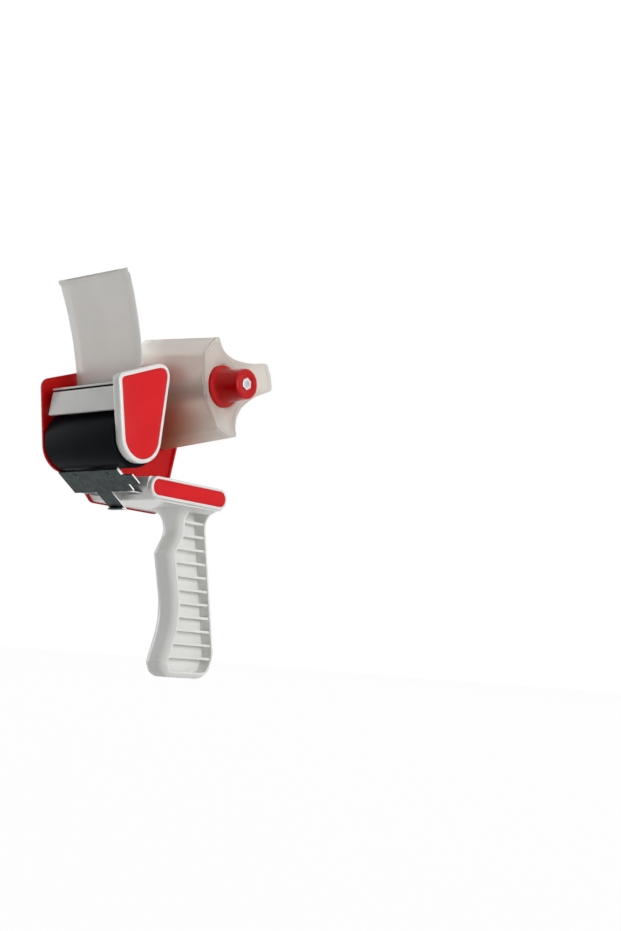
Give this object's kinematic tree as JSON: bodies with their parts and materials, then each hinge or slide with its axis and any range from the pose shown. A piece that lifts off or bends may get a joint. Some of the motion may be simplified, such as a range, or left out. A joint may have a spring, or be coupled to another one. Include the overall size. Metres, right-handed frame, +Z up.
{
  "type": "packing tape dispenser",
  "caption": "Hand-held packing tape dispenser with a red steel side plate, white ribbed handle, lobed tape hub, rubber roller, toothed blade and clear flap.",
  "frame": {"origin": "middle of the flat foot of the handle", "axes": "+X forward to the roller, +Y from the side plate to the free side, +Z up the handle"},
  "size_m": [0.1359, 0.0765, 0.2286],
  "materials": {
    "red_paint": "gloss",
    "white_plastic": "satin",
    "red_plastic": "satin",
    "knob_plastic": "gloss",
    "milky_plastic": "satin",
    "flap_plastic": "frosted",
    "rubber": "satin",
    "dark_steel": "dull",
    "steel": "satin",
    "chrome": "polished",
    "nylon": "satin"
  },
  "bodies": {
    "frame": {"side_plate": "red_paint", "handle": "white_plastic", "handle_inlay": "red_plastic", "front_frame": "white_plastic", "front_inlay": "red_plastic", "guide_post": "steel", "guide_screw": "chrome", "roller_axle": "steel", "roller_screw": "chrome", "cheek_screws": "chrome", "hub_spindle": "steel", "hub_washer": "nylon", "hub_screw": "chrome", "brake_washer": "steel", "blade": "dark_steel", "blade_bracket": "dark_steel", "blade_rivets": "dark_steel", "handle_screws": "chrome"},
    "hub": {"tape_hub": "milky_plastic"},
    "brake": {"brake_knob": "knob_plastic", "brake_nut": "chrome", "brake_spring": "steel"},
    "roller": {"roller_sleeve": "rubber", "roller_core": "white_plastic", "roller_bushes": "nylon"},
    "flap": {"tape_flap": "flap_plastic"}
  },
  "joints": [
    {"name": "hub_spin", "type": "hinge", "parent": "frame", "child": "hub", "pos_m": [0.0016, 0, 0.1804], "axis": [0, 1, 0], "continuous": true},
    {"name": "brake_turn", "type": "hinge", "parent": "frame", "child": "brake", "pos_m": [0.0016, 0, 0.1804], "axis": [0, 1, 0], "range_deg": [-360, 360]},
    {"name": "roller_spin", "type": "hinge", "parent": "frame", "child": "roller", "pos_m": [0.078, 0, 0.1342], "axis": [0, 1, 0], "continuous": true},
    {"name": "flap_bend", "type": "hinge", "parent": "frame", "child": "flap", "pos_m": [0.0758, 0, 0.1638], "axis": [0, 1, 0], "range_deg": [-12, 12], "stiffness_Nm_per_rad": 0.05}
  ]
}
